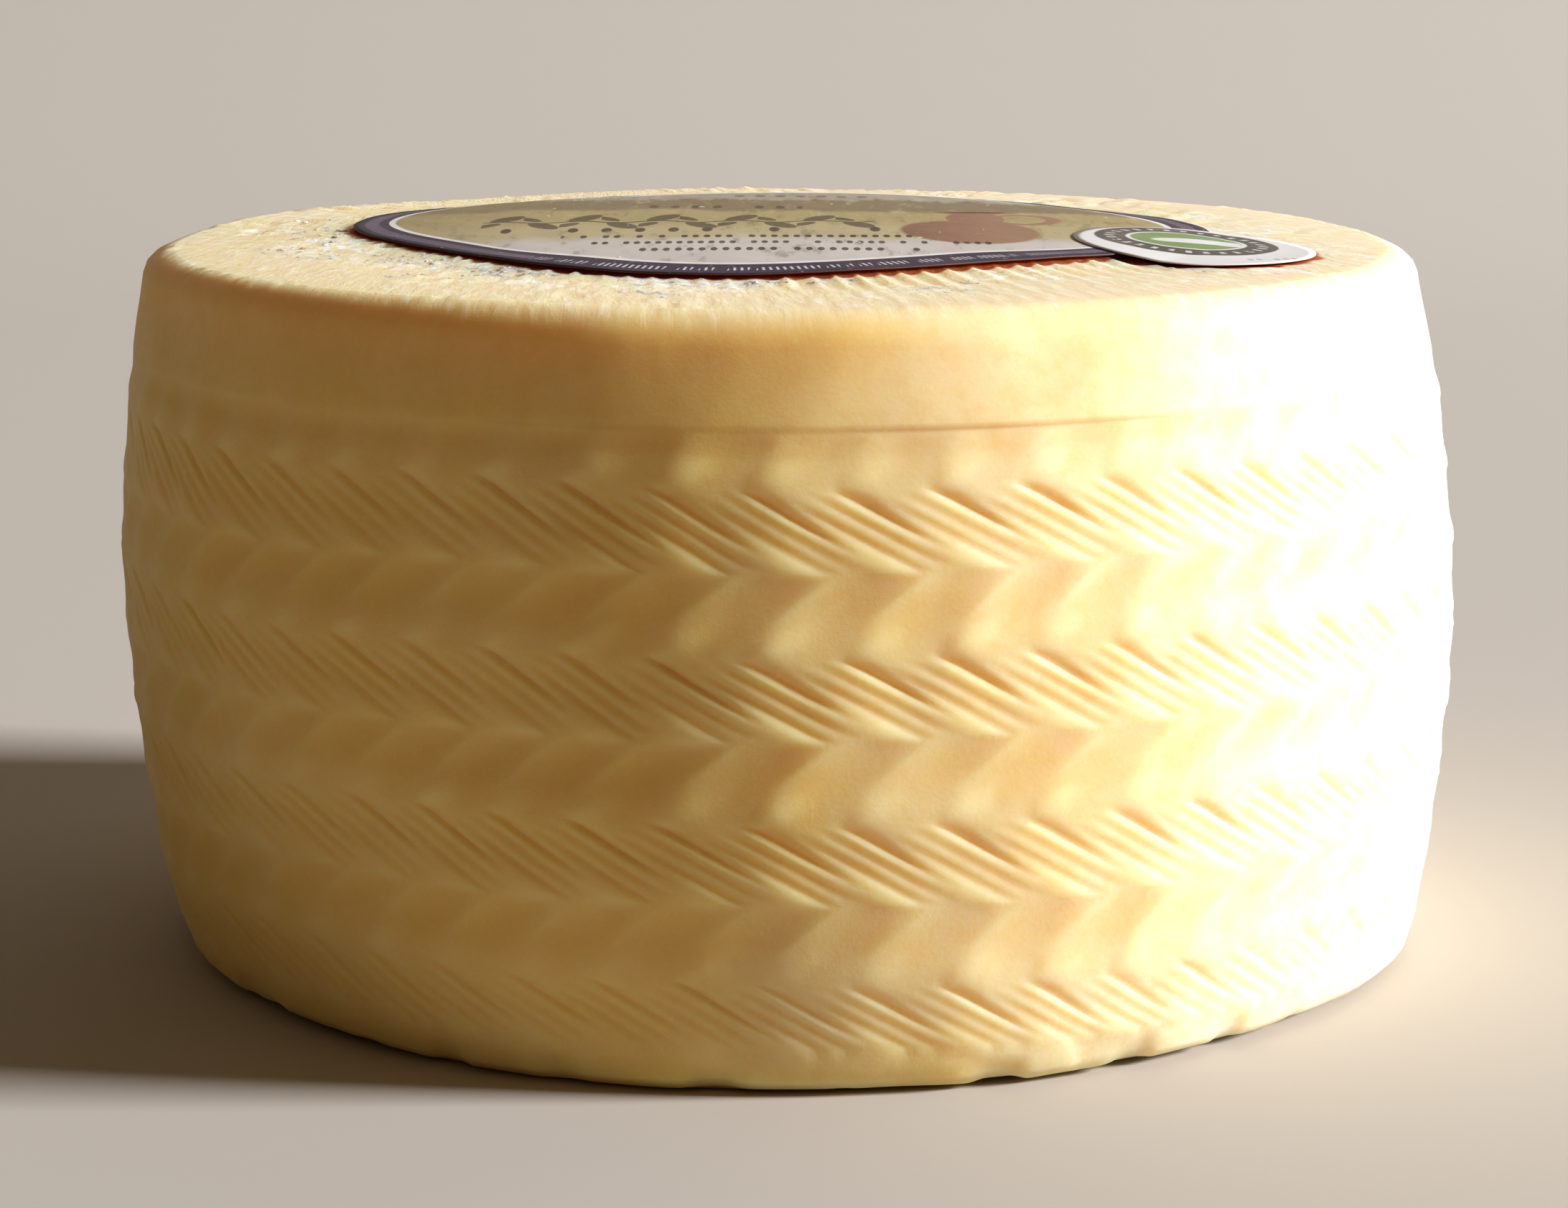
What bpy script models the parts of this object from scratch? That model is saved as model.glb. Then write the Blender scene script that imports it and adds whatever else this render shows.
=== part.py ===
# A small pressed cheese wheel with two paper labels on its top face.
# The wheel stands on the plane z = 0 with its axis on Z. Every length is in metres.

import math

import bpy

# The wheel's outline
BELLY_RADIUS = 0.0952
BELLY_HEIGHT = 0.0535
SHOULDER_RADIUS = 0.0894      # the side's radius where it would meet the top face
FOOT_RADIUS = 0.0881          # the side's radius where it would meet the base
TOP_HEIGHT = 0.1008           # the level middle of the top face
TOP_EDGE_HEIGHT = 0.0994      # the top face at the shoulder
LEVEL_RADIUS = 0.064          # how far out the top face stays level, under the main label
SHOULDER_ROUND = 0.0045
FOOT_ROUND = 0.0035
FALLING_STEPS = 4             # points on the falling part of the top face
ROUND_STEPS = 4               # points on each rounded corner
WHEEL_SIDES = 72

# The plaited band pressed into the side: four rows, each row two bands of strands
ROW_COUNT = 4
ROW_PITCH = 0.0212
BAND_TOP = 0.0855
BAND_BOTTOM = BAND_TOP - ROW_COUNT * ROW_PITCH + 0.0035
ROW_WAVE = 0.0005             # how deep the side is pressed in between two rows
STEPS_PER_ROW = 8

# The labels, plain flat sheets here
GAP = 0.0003                  # between two pieces that touch
LABEL_MEAN_RADIUS = 0.0578
LABEL_LOBE = 0.0046           # how far the four lobes stand out of the mean radius, and the hollows in
LABEL_LOBES = 4
LABEL_THICKNESS = 0.0004
LABEL_POINTS = 64
SEAL_WIDTH = 0.0325
SEAL_LENGTH = 0.040
SEAL_CENTRE = (0.0555, -0.0220)
SEAL_TURN = math.radians(8)
SEAL_THICKNESS = 0.0003
SEAL_POINTS = 48


def clear_scene():
    for old in list(bpy.data.objects):
        bpy.data.objects.remove(old, do_unlink=True)


def make_collection(name):
    made = bpy.data.collections.new(name)
    bpy.context.scene.collection.children.link(made)
    return made


def principled(name, color, roughness, metallic=0.0):
    made = bpy.data.materials.new(name)
    made.use_nodes = True
    shader = made.node_tree.nodes["Principled BSDF"]
    shader.inputs["Base Color"].default_value = (*color, 1.0)
    shader.inputs["Roughness"].default_value = roughness
    shader.inputs["Metallic"].default_value = metallic
    return made


def barrel_radius(height):
    """The side without its plait: a parabola above the belly and another below it."""
    if height > BELLY_HEIGHT:
        share = (height - BELLY_HEIGHT) / (TOP_EDGE_HEIGHT - BELLY_HEIGHT)
        return BELLY_RADIUS - (BELLY_RADIUS - SHOULDER_RADIUS) * share**2
    share = (BELLY_HEIGHT - height) / BELLY_HEIGHT
    return BELLY_RADIUS - (BELLY_RADIUS - FOOT_RADIUS) * share**2


def side_radius(height):
    """The barrel, pressed in by one shallow wave for each row of the plait."""
    if not BAND_BOTTOM < height < BAND_TOP:
        return barrel_radius(height)
    turns = (BAND_TOP - height) / ROW_PITCH
    return barrel_radius(height) - ROW_WAVE * 0.5 * (1 - math.cos(2 * math.pi * turns))


def top_height(radius):
    """The top face: level in the middle, then falling gently to the shoulder."""
    share = max(0.0, (radius - LEVEL_RADIUS) / (SHOULDER_RADIUS - LEVEL_RADIUS))
    return TOP_HEIGHT - (TOP_HEIGHT - TOP_EDGE_HEIGHT) * share**1.5


def rounded(centre, radius, start, end):
    """Points on an arc between two angles, in degrees from the outward direction."""
    angles = [math.radians(start + (end - start) * i / ROUND_STEPS) for i in range(ROUND_STEPS + 1)]
    return [(centre[0] + radius * math.cos(a), centre[1] + radius * math.sin(a)) for a in angles]


def wheel_profile():
    """(radius, height) from the middle of the top face, out over the shoulder, down the side and in."""
    shoulder_height = TOP_EDGE_HEIGHT - SHOULDER_ROUND
    shoulder = (side_radius(shoulder_height) - SHOULDER_ROUND, shoulder_height)
    foot = (side_radius(FOOT_ROUND) - FOOT_ROUND, FOOT_ROUND)
    falling = [LEVEL_RADIUS + (shoulder[0] - LEVEL_RADIUS) * i / FALLING_STEPS
               for i in range(FALLING_STEPS)]
    points = [(0.0, TOP_HEIGHT)]
    points += [(radius, top_height(radius)) for radius in falling]
    points += rounded(shoulder, SHOULDER_ROUND, 90, 0)
    step = ROW_PITCH / STEPS_PER_ROW
    height = shoulder_height - step
    while height > FOOT_ROUND + step / 2:
        points.append((side_radius(height), height))
        height -= step
    points += rounded(foot, FOOT_ROUND, 0, -90)
    points.append((0.0, 0.0))
    return points


def turned_wheel(collection, material):
    points = wheel_profile()
    mesh = bpy.data.meshes.new("cheese_wheel")
    edges = [(i, i + 1) for i in range(len(points) - 1)]
    mesh.from_pydata([(radius, 0.0, height) for radius, height in points], edges, [])
    wheel = bpy.data.objects.new("cheese_wheel", mesh)
    collection.objects.link(wheel)
    screw = wheel.modifiers.new("turn", "SCREW")
    screw.axis = "Z"
    screw.steps = WHEEL_SIDES
    screw.render_steps = WHEEL_SIDES
    screw.use_merge_vertices = True
    screw.merge_threshold = 0.00001
    screw.use_smooth_shade = True
    mesh.materials.append(material)
    return wheel


def flat_sheet(name, outline, thickness, collection, material):
    """A closed outline of (x, y) points, filled and as thick as stated, centred on its own z = 0."""
    curve = bpy.data.curves.new(name, "CURVE")
    curve.dimensions = "2D"
    curve.fill_mode = "BOTH"
    curve.extrude = thickness / 2
    spline = curve.splines.new("POLY")
    spline.points.add(len(outline) - 1)
    for point, (x, y) in zip(spline.points, outline):
        point.co = (x, y, 0.0, 1.0)
    spline.use_cyclic_u = True
    sheet = bpy.data.objects.new(name, curve)
    collection.objects.link(sheet)
    curve.materials.append(material)
    return sheet


def label_outline():
    """Four soft lobes: the radius swings evenly about its mean as the angle goes round."""
    points = []
    for i in range(LABEL_POINTS):
        angle = 2 * math.pi * i / LABEL_POINTS
        radius = LABEL_MEAN_RADIUS + LABEL_LOBE * math.cos(LABEL_LOBES * angle)
        points.append((radius * math.cos(angle), radius * math.sin(angle)))
    return points


def seal_outline():
    """An ellipse, its long way along y."""
    angles = [2 * math.pi * i / SEAL_POINTS for i in range(SEAL_POINTS)]
    return [(SEAL_WIDTH / 2 * math.cos(a), SEAL_LENGTH / 2 * math.sin(a)) for a in angles]


def main():
    clear_scene()
    parts = make_collection("cheese_wheel_parts")
    rind = principled("rind", (0.86, 0.73, 0.47), 0.45)
    label_paper = principled("label_paper", (0.50, 0.46, 0.34), 0.5)
    seal_paper = principled("seal_paper", (0.88, 0.88, 0.86), 0.35)

    turned_wheel(parts, rind)

    label = flat_sheet("main_label", label_outline(), LABEL_THICKNESS, parts, label_paper)
    label_base = TOP_HEIGHT + GAP
    label.location = (0.0, 0.0, label_base + LABEL_THICKNESS / 2)

    seal = flat_sheet("oval_seal", seal_outline(), SEAL_THICKNESS, parts, seal_paper)
    seal_base = label_base + LABEL_THICKNESS + GAP
    seal.location = (*SEAL_CENTRE, seal_base + SEAL_THICKNESS / 2)
    seal.rotation_euler = (0.0, 0.0, SEAL_TURN)


main()
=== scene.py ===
import math

import bpy
import numpy as np
from mathutils import Matrix, Vector


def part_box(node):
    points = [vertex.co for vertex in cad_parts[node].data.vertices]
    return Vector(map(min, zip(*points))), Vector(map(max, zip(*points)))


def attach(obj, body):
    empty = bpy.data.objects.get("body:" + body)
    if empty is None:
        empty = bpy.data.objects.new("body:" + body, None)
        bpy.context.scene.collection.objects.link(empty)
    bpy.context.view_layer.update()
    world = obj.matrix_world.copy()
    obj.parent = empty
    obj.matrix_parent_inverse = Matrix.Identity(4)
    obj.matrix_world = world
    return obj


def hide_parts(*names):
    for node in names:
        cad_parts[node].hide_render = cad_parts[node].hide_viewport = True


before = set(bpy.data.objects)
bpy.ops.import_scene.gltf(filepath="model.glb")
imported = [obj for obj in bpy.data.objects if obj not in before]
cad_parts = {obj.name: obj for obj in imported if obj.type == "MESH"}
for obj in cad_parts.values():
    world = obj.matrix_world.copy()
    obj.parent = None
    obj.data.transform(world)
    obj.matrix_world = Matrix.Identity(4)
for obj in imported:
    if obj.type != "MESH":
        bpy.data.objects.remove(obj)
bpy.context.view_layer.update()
mm = 0.001          # shapes are worked out in millimetres and put into meshes in metres
fullTurn = 2 * math.pi

wheelLow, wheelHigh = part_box("cheese_wheel")
labelLow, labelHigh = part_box("main_label")
sealLow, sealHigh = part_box("oval_seal")

# what every shape uses


def smoothStep(low, high, value):
    # 0 below low, 1 above high, and an S curve between them
    share = np.clip((value - low) / (high - low), 0, 1)
    return share * share * (3 - 2 * share)


def bell(value, middle, width):
    # 1 in the middle, falling away on both sides
    return np.exp(-((value - middle) / width) ** 2)


def wrapped(value):
    # a distance in turns, brought to -0.5 .. 0.5
    return (value + 0.5) % 1 - 0.5


def nearSide(angle, degrees, turns):
    # 1 on the side of the wheel that lies at these degrees, falling away over a part of a turn
    return bell(wrapped((angle - math.radians(degrees)) / fullTurn), 0, turns)


def swell(points, length, seed, count=14):
    # plane waves of about one length in random directions, added up to about -1 .. 1
    dice = np.random.default_rng(seed)
    ways = dice.normal(size=(count, 3))
    ways /= np.linalg.norm(ways, axis=1)[:, None]
    lengths = length * dice.uniform(0.7, 1.5, count)
    starts = dice.uniform(0, fullTurn, count)
    phases = np.tensordot(points, (ways / lengths[:, None]).T, 1) * fullTurn + starts
    return np.cos(phases).sum(-1) / math.sqrt(count)


def ringFaces(counts):
    # Faces between rings of points that follow one another. Two rings of one count are joined by
    # four-cornered faces, and a ring of half the count by three triangles a cell.
    starts = np.concatenate([[0], np.cumsum(counts)])
    groups = []
    for here, (first, second) in enumerate(zip(counts[:-1], counts[1:])):
        a, b = starts[here], starts[here + 1]
        n = min(first, second)
        i = np.arange(n)
        j = (i + 1) % n
        if first == second:
            groups.append(np.stack([a + i, b + i, b + j, a + j], 1))
            continue
        fine, coarse = (a, b) if first > second else (b, a)
        left, middle, right = fine + 2 * i, fine + 2 * i + 1, fine + (2 * i + 2) % (2 * n)
        cells = np.concatenate([np.stack([left, coarse + i, middle], 1),
                                np.stack([middle, coarse + i, coarse + j], 1),
                                np.stack([middle, coarse + j, right], 1)])
        groups.append(cells if first > second else cells[:, ::-1])
    return groups


def fanFaces(centre, first, count, facingOut):
    # triangles from one middle point to a ring
    i = np.arange(count)
    cells = np.stack([np.full(count, centre), first + i, first + (i + 1) % count], 1)
    return cells if facingOut else cells[:, ::-1]


def makePiece(name, points, faceGroups, material, stands=None):
    # stands is the name of the CAD piece whose place it takes
    mesh = bpy.data.meshes.new(name)
    faces = [face for group in faceGroups for face in group.tolist()]
    mesh.from_pydata((points * mm).tolist(), [], faces)
    mesh.shade_smooth()
    mesh.materials.append(material)
    piece = bpy.data.objects.new(name, mesh)
    bpy.context.scene.collection.objects.link(piece)
    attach(piece, "root")
    if stands:
        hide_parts(stands)
    print("made", name, "with", sum(len(face) - 2 for face in faces), "triangles")
    return piece


def giveValues(piece, name, values):
    # one number for each point, which the material reads
    held = piece.data.attributes.new(name, "FLOAT", "POINT")
    held.data.foreach_set("value", np.ascontiguousarray(values, np.float32))


class Wire:
    # a socket that takes part in sums as a number does
    def __init__(self, board, socket):
        self.board = board
        self.socket = socket

    def __add__(self, other):
        return self.board.call("ADD", self, other)

    def __sub__(self, other):
        return self.board.call("SUBTRACT", self, other)

    def __mul__(self, other):
        return self.board.call("MULTIPLY", self, other)

    def __truediv__(self, other):
        return self.board.call("DIVIDE", self, other)

    def __rsub__(self, other):
        return self.board.call("SUBTRACT", other, self)

    __radd__ = __add__
    __rmul__ = __mul__


class Board:
    # one material's nodes
    def __init__(self, name):
        self.material = bpy.data.materials.new(name)
        self.material.use_nodes = True
        self.tree = self.material.node_tree
        self.shader = self.tree.nodes["Principled BSDF"]

    def node(self, kind, settings=None, values=None, out=0):
        made = self.tree.nodes.new(kind)
        for key, value in (settings or {}).items():
            setattr(made, key, value)
        for key, value in (values or {}).items():
            self.put(made.inputs[key], value)
        return Wire(self, made.outputs[out])

    def put(self, socket, value):
        if isinstance(value, Wire):
            self.tree.links.new(value.socket, socket)
        elif socket.type == "RGBA":
            socket.default_value = (*value, 1)
        else:
            socket.default_value = value

    def call(self, operation, *values):
        return self.node("ShaderNodeMath", {"operation": operation}, dict(enumerate(values)))

    def blend(self, share, first, second):
        return self.node("ShaderNodeMix", {"data_type": "RGBA", "clamp_factor": True},
                         {0: share, 6: first, 7: second}, out=2)

    def place(self, turn=0.0, stretch=(1, 1, 1)):
        # the object's own coordinates in millimetres, turned about Z and then stretched
        here = self.node("ShaderNodeTexCoord", out="Object")
        turned = self.node("ShaderNodeMapping", None, {"Vector": here, "Rotation": (0, 0, turn)})
        return self.node("ShaderNodeMapping", None,
                         {"Vector": turned, "Scale": tuple(share / mm for share in stretch)})

    def split(self, vector):
        outputs = self.node("ShaderNodeSeparateXYZ", None, {0: vector}).socket.node.outputs
        return [Wire(self, outputs[i]) for i in range(3)]

    def held(self, name):
        return self.node("ShaderNodeAttribute", {"attribute_name": name}, out="Fac")

    def noise(self, vector, length, detail=2.0, rough=0.5, twist=0.0):
        # length is the size of the spots in millimetres
        return self.node("ShaderNodeTexNoise", None,
                         {"Vector": vector, "Scale": 1 / length, "Detail": detail, "Roughness": rough,
                          "Distortion": twist})

    def step(self, value, low, high):
        # 0 at low, 1 at high, and an S curve between them; low may be the larger
        return self.node("ShaderNodeMapRange", {"interpolation_type": "SMOOTHSTEP"},
                         {0: value, 1: low, 2: high, 3: 0.0, 4: 1.0})

    def inOval(self, x, y, middle, reach, turn=0.0, soft=0.12):
        # 1 inside a turned oval and 0 outside it
        c, s = math.cos(turn), math.sin(turn)
        x, y = x - middle[0], y - middle[1]
        along, across = (x * c + y * s) / reach[0], (y * c - x * s) / reach[1]
        return self.step(along * along + across * across, 1 + soft, 1 - soft)

    def most(self, *values):
        found = values[0]
        for value in values[1:]:
            found = self.call("MAXIMUM", found, value)
        return found

    def raised(self, height, distance, below=None):
        # bumps of this many millimetres, on top of the bumps below
        values = {"Height": height, "Distance": distance * mm}
        if below is not None:
            values["Normal"] = below
        return self.node("ShaderNodeBump", None, values)

    def finish(self, **sockets):
        for key, value in sockets.items():
            self.put(self.shader.inputs[key.replace("_", " ")], value)
        return self.material


# the outlines of the two labels, which the rind's red-brown painted shade follows too

labelCut = {
    "mean": (labelHigh.x - labelLow.x) / 2 / mm - 3.9,
    "waves": ((1, 3.5, 1.90), (2, 1.3, 0.10), (3, 1.2, 2.62), (4, 2.4, -0.27)),  # count, height, angle
    "level": labelLow.z / mm - 0.80,    # of its edge
    "dome": 1.65,                       # how much higher its middle is
    "domeReach": 62,
    "tilt": 0.7,                        # how much higher it lies at the back left
    "tiltWay": (-0.6, 0.8),
    "tiltEnds": (58, 82),               # the tilt fades out between these radii
    "backFall": 0.30,                   # how far its back edge turns down
    "backSide": (0.25, 0.6),            # sines of the angles where the back edge starts
    "fallOver": (-7, -1),               # it turns down between these distances outside the edge
    "riseOver": (0.5, 5),               # and the rind rises again between these
    "thick": 0.22,
    "rings": (0.15, 0.3, 0.45, 0.6, 0.72, 0.82, 0.88, 0.93, 0.965, 0.985, 1.0),
    "columns": 256,
}

sealCut = {
    "middle": ((sealLow.x + sealHigh.x) / 2 / mm, (sealLow.y + sealHigh.y) / 2 / mm + 1.8),
    "wide": 32.5,
    "long": 40.0,
    "turn": math.radians(13),
    "thick": 0.14,
    "gap": 0.06,        # between it and the main label
    "sinks": 0.50,      # how far it sinks beyond the main label's edge
    "sinksOver": (0.3, 15),
    "rings": 14,
    "columns": 160,
}


def labelEdge(angle):
    # the radius swings about its mean: four lobes, laid a little askew
    waves = [height * np.cos(times * (angle - start)) for times, height, start in labelCut["waves"]]
    return labelCut["mean"] + sum(waves)


def outsideLabel(x, y):
    # millimetres outside the main label's edge
    return np.hypot(x, y) - labelEdge(np.arctan2(y, x))


def labelDome(x, y):
    # Height over the level edge: a low dome that turns down along its back edge. The rind under it
    # follows, and rises again beyond the edge.
    radius = np.hypot(x, y)
    outside = outsideLabel(x, y)
    behind = smoothStep(*labelCut["backSide"], y / np.maximum(radius, 1))
    fall = smoothStep(*labelCut["fallOver"], outside) * (1 - smoothStep(*labelCut["riseOver"], outside))
    fall = fall * behind
    along = labelCut["tiltWay"][1] * y + labelCut["tiltWay"][0] * x
    tilt = smoothStep(0, labelCut["domeReach"], along) * (1 - smoothStep(*labelCut["tiltEnds"], radius))
    dome = np.clip(1 - (radius / labelCut["domeReach"]) ** 3, 0, 1)
    return labelCut["dome"] * dome + labelCut["tilt"] * tilt - labelCut["backFall"] * fall


def sealPlace(x, y):
    # the same point seen from the seal's middle, across it and along it
    c, s = math.cos(sealCut["turn"]), math.sin(sealCut["turn"])
    x, y = x - sealCut["middle"][0], y - sealCut["middle"][1]
    return c * x + s * y, c * y - s * x


def outsideSeal(x, y):
    # about how many millimetres outside the seal's edge
    across, along = sealPlace(x, y)
    oval = np.hypot(across / sealCut["wide"] * 2, along / sealCut["long"] * 2)
    return (oval - 1) * sealCut["wide"] / 2


def outsideLabels(x, y):
    # millimetres outside the nearer label's edge
    return np.minimum(outsideLabel(x, y), outsideSeal(x, y))


# the wheel

wheel = {
    "belly": (wheelHigh.x - wheelLow.x) / 2 / mm - 0.15,
    "bellyHeight": 53.5,
    "shoulder": 89.0,
    "foot": 88.0,
    "footCurve": 2.4,                   # power of the curve below the belly
    "top": wheelHigh.z / mm - 0.95,     # beside the main label
    "raised": 0.28,                     # how much higher the rind is under it
    "topEdge": wheelHigh.z / mm - 1.3,
    "levelTo": 60,                      # the top face starts to fall here
    "topCurve": 2.2,
    "backLow": 0.2,                     # how much lower the top face is behind the label
    "shoulderRound": 4.8,
    "footRound": 3.8,
    "leanFoot": 1.1,
    "leanTop": 1.4,
    "leanAll": 0.25,
    "topRadii": (14, 27, 38, 46, 52, 55.5, 57.2, 57.75, 58.3, 59.4, 60.8, 62.3, 63.9, 65.6, 67.4, 69.2,
                 71, 72.9, 74.8, 76.7, 78.6, 80.5, 82.4, 84.1, 85.6),
    "shoulderArc": (86, 70, 53, 36, 20, 6),
    "plainHeights": (92.6, 90.2, 88.2, 86.9, 86.2, 85.75, 85.45, 85.1),
    "plaitEnds": (5.9, 84.9),
    "lastHeight": 4.8,
    "footArc": (0, -30, -60, -90),
    "baseRadii": (79, 72, 63, 50, 34, 16),
    "wavesAt": 95,                      # the uneven waves of the side are taken at this radius
    "turnWaves": 0.7,                   # how far they carry the strands round
    "heightWaves": 0.5,                 # and the rows up and down
    "lumps": 0.28,
    "smallLumps": 0.09,
    "jagged": 0.22,                     # the slanting ridges of the shoulder
    "jaggedSide": (-145, 0.13),
    "jaggedHeight": (95.6, 3.4),
    "notches": 0.8,                     # in the foot
    "squareSides": 0.45,                # how much fuller the shoulder is at the two sides
    "footLifts": ((0.9, -56, 0.09), (0.8, -142, 0.045)),    # (height, degrees, part of a turn)
    # the plaited band pressed into the side
    "strands": 52,                      # side by side round the wheel
    "columns": 15,                      # of the mesh in one strand
    "rows": 4,
    "firstLine": 78.9,                  # height where the first row's smooth and ribbed strands meet
    "pitch": 21.15,                     # from one row to the next
    "ribbed": 10.7,                     # height of a row's ribbed strands, under that line
    "crease": 85.5,                     # the belt's upper edge
    "creaseDepth": 0.16,
    "creaseSide": (-76, 0.05),          # (degrees, part of a turn) where it is deepest
    "start": 5.95,                      # where a strand starts, along the belly from the front
    "slope": 0.60,                      # fall of the ribbed strands for each step along
    "smoothTurn": 2.5,                  # how tightly the smooth strands turn upright at their feet
    "smoothLean": 1.28,                 # how far they lean above that
    "rowStrength": (1.05, 1.0, 0.95, 0.75),
    "hollow": 0.52,
    "toe": 0.42,
    "deepGroove": 0.68,
    "secondGroove": 0.30,
    "thirdGroove": 0.33,
    "wedge": 0.30,
    "cycle": 0.16,                      # how far the side is pressed in between two rows
    "fade": 0.75,                       # half the height over which two bands of strands meet
    "sharpSide": (-62, 0.17),           # (degrees, part of a turn) where the ribs are sharpest
    "belowLine": (0.45, 1.05, 1.8, 2.8, 3.9, 5.1, 6.4, 7.7, 8.8, 9.7, 10.25),
    "aboveLine": (-9.9, -9.2, -8.2, -7.0, -5.7, -4.4, -3.3, -2.3, -1.4, -0.6),
    "firstAbove": -6.0,                 # no rings of points higher than this over the first line
    # the ridges on the top face
    "ridgeHub": (-31, 149),             # they all point to here
    "ridgeReach": 205,                  # from there to the front edge of the label
    "coarsePitch": 3.3,
    "coarse": 0.45,
    "finePitch": 2.4,
    "fine": 0.22,
    "crumbly": 0.19,
    "coarseSide": (-58, 0.12),
    "ridgeFade": (5, 15),               # the coarse ones fade between these distances from the label
}

smoothHeight = wheel["pitch"] - wheel["ribbed"]
strandWidth = fullTurn * wheel["belly"] / wheel["strands"]
# the next row's crest, counted back in strands from this row's deep groove
crestStep = 9 / 15


def barrel(height):
    # a parabola above the belly and a steeper curve below it
    up = (height - wheel["bellyHeight"]) / (wheel["topEdge"] - wheel["bellyHeight"])
    down = (wheel["bellyHeight"] - height) / wheel["bellyHeight"]
    fall = np.where(up > 0, (wheel["belly"] - wheel["shoulder"]) * up ** 2,
                    (wheel["belly"] - wheel["foot"]) * np.abs(down) ** wheel["footCurve"])
    return wheel["belly"] - fall


def topHeight(radius):
    # nearly level, falling gently to the shoulder
    out = np.clip((radius - wheel["levelTo"]) / (wheel["shoulder"] - wheel["levelTo"]), 0, None)
    return wheel["top"] - (wheel["top"] - wheel["topEdge"]) * out ** wheel["topCurve"]


def leanAt(height):
    # how far the wheel leans: right at the foot and left at the top
    share = height / wheel["bellyHeight"] - 1
    return np.where(share < 0, -wheel["leanFoot"] * share, -wheel["leanTop"] * share) - wheel["leanAll"]


def strandShift(depth):
    # How far along the belly a strand has gone at a depth below its row's line. Below the line
    # it is straight and above it is a hyperbola, upright at the foot and leaning further up.
    turn = wheel["smoothTurn"]
    bent = wheel["smoothLean"] * (np.sqrt(depth ** 2 + turn ** 2) - turn)
    return np.where(depth > 0, depth / wheel["slope"], bent)


def plaitRings():
    # (height, shift) of each ring of points in the plaited band, from the crease to the foot
    below, above = np.array(wheel["belowLine"]), np.array(wheel["aboveLine"])
    heights, shifts = [], []
    shift = 0.0
    for row in range(wheel["rows"]):
        line = wheel["firstLine"] - row * wheel["pitch"]
        if row:
            shift += float(strandShift(wheel["ribbed"]) - strandShift(-smoothHeight))
            depths = np.concatenate([[-smoothHeight], above])
        else:
            depths = above[above > wheel["firstAbove"]]
        depths = np.concatenate([depths, [0.0], below])
        heights.append(line - depths)
        shifts.append(shift + strandShift(depths))
    return np.concatenate(heights), np.concatenate(shifts)


def smoothStrands(share, depth, force, toeForce):
    # Concave scallops that meet in soft crests at share 0. Each is deepest under its top end, and
    # ends at its foot in a raised toe to the right of the crest.
    hollow = 4 * share * (1 - share)
    deep = smoothStep(-11.8, -8.2, depth) * (1 - 0.75 * smoothStep(-7.5, -0.5, depth))
    toe = smoothStep(-0.05, 0.12, share) * bell(share, 0.24, 0.24) * bell(depth, -1.6, 2.2)
    return -wheel["hollow"] * force * hollow ** 1.25 * deep + wheel["toe"] * toeForce * toe


def ribbedStrands(share, depth, force, nudge):
    # Three rounded ribs in a strand with V grooves between them. The groove at share 0 is deep and
    # wide under the toe and fades out; the others start later and run to the end. Past the deep
    # groove the ribs on both sides of it join in one broad wedge.
    def groove(place, left, right, opens, closes):
        away = wrapped(share - place)
        shape = np.clip(1 - np.abs(away) / np.where(away < 0, left, right), 0, 1) ** 1.25
        return shape * smoothStep(*opens, depth) * (1 - smoothStep(*closes, depth))

    deepWidth = 0.28 - 0.14 * smoothStep(0.5, 6, depth)
    deep = groove(0.0, 0.13, deepWidth, (-0.6, 1.3), (3.8, 8.3))
    second = groove(2 / 3 + nudge, 0.16, 0.15, (0.2, 2.4), (8.0, 10.0))
    third = groove(1 / 3 + nudge, 0.16, 0.15, (1.2, 3.6), (9.8, 11.3))
    wedge = bell(wrapped(share - 0.03), 0, 0.27) * smoothStep(4.5, 9.5, depth)
    pressed = wheel["deepGroove"] * deep + wheel["secondGroove"] * second + wheel["thirdGroove"] * third
    return wheel["wedge"] * wedge - force * pressed


def plaitRelief(columnShare, depth, sharp):
    # The plait's height over the barrel. depth is in millimetres under the first row's line. Each
    # band of strands fades into the next one over a short way, and every strand differs a little.
    # The strands are weaker where sharp is 0, and the ribs most of all.
    dice = np.random.default_rng(31)
    total = np.zeros(np.broadcast(columnShare, depth).shape)
    fade = wheel["fade"]
    for row in range(wheel["rows"]):
        forces = dice.normal(1, 0.16, wheel["strands"]).clip(0.6, 1.4)
        toes = dice.normal(1, 0.22, wheel["strands"]).clip(0.5, 1.5)
        nudges = dice.normal(0, 0.018, wheel["strands"])
        counted = columnShare + crestStep * row
        share = counted % 1
        strand = np.floor(counted).astype(int) % wheel["strands"]
        own = depth - row * wheel["pitch"]
        overLine = 1 - smoothStep(-fade, fade, own)
        underTop = smoothStep(-smoothHeight - fade, -smoothHeight + fade, own)
        overEnd = 1 - smoothStep(wheel["ribbed"] - fade, wheel["ribbed"] + fade, own)
        smooth = smoothStrands(share, own, forces[strand], toes[strand])
        ribbed = ribbedStrands(share, own, forces[strand], nudges[strand])
        smooth = underTop * overLine * (0.78 + 0.22 * sharp) * smooth
        ribbed = overEnd * (1 - overLine) * (0.5 + 0.5 * sharp) * ribbed
        total += wheel["rowStrength"][row] * (smooth + ribbed)
    cycle = np.sin(math.pi * depth / (wheel["pitch"] / 2)) ** 2
    return total - wheel["cycle"] * cycle


def ridgePlace(x, y):
    # (across, along) the ridges, which spread like a fan from a place behind the wheel
    x, y = x - wheel["ridgeHub"][0], wheel["ridgeHub"][1] - y
    return wheel["ridgeReach"] * np.arctan2(x, y), np.hypot(x, y)


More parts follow.
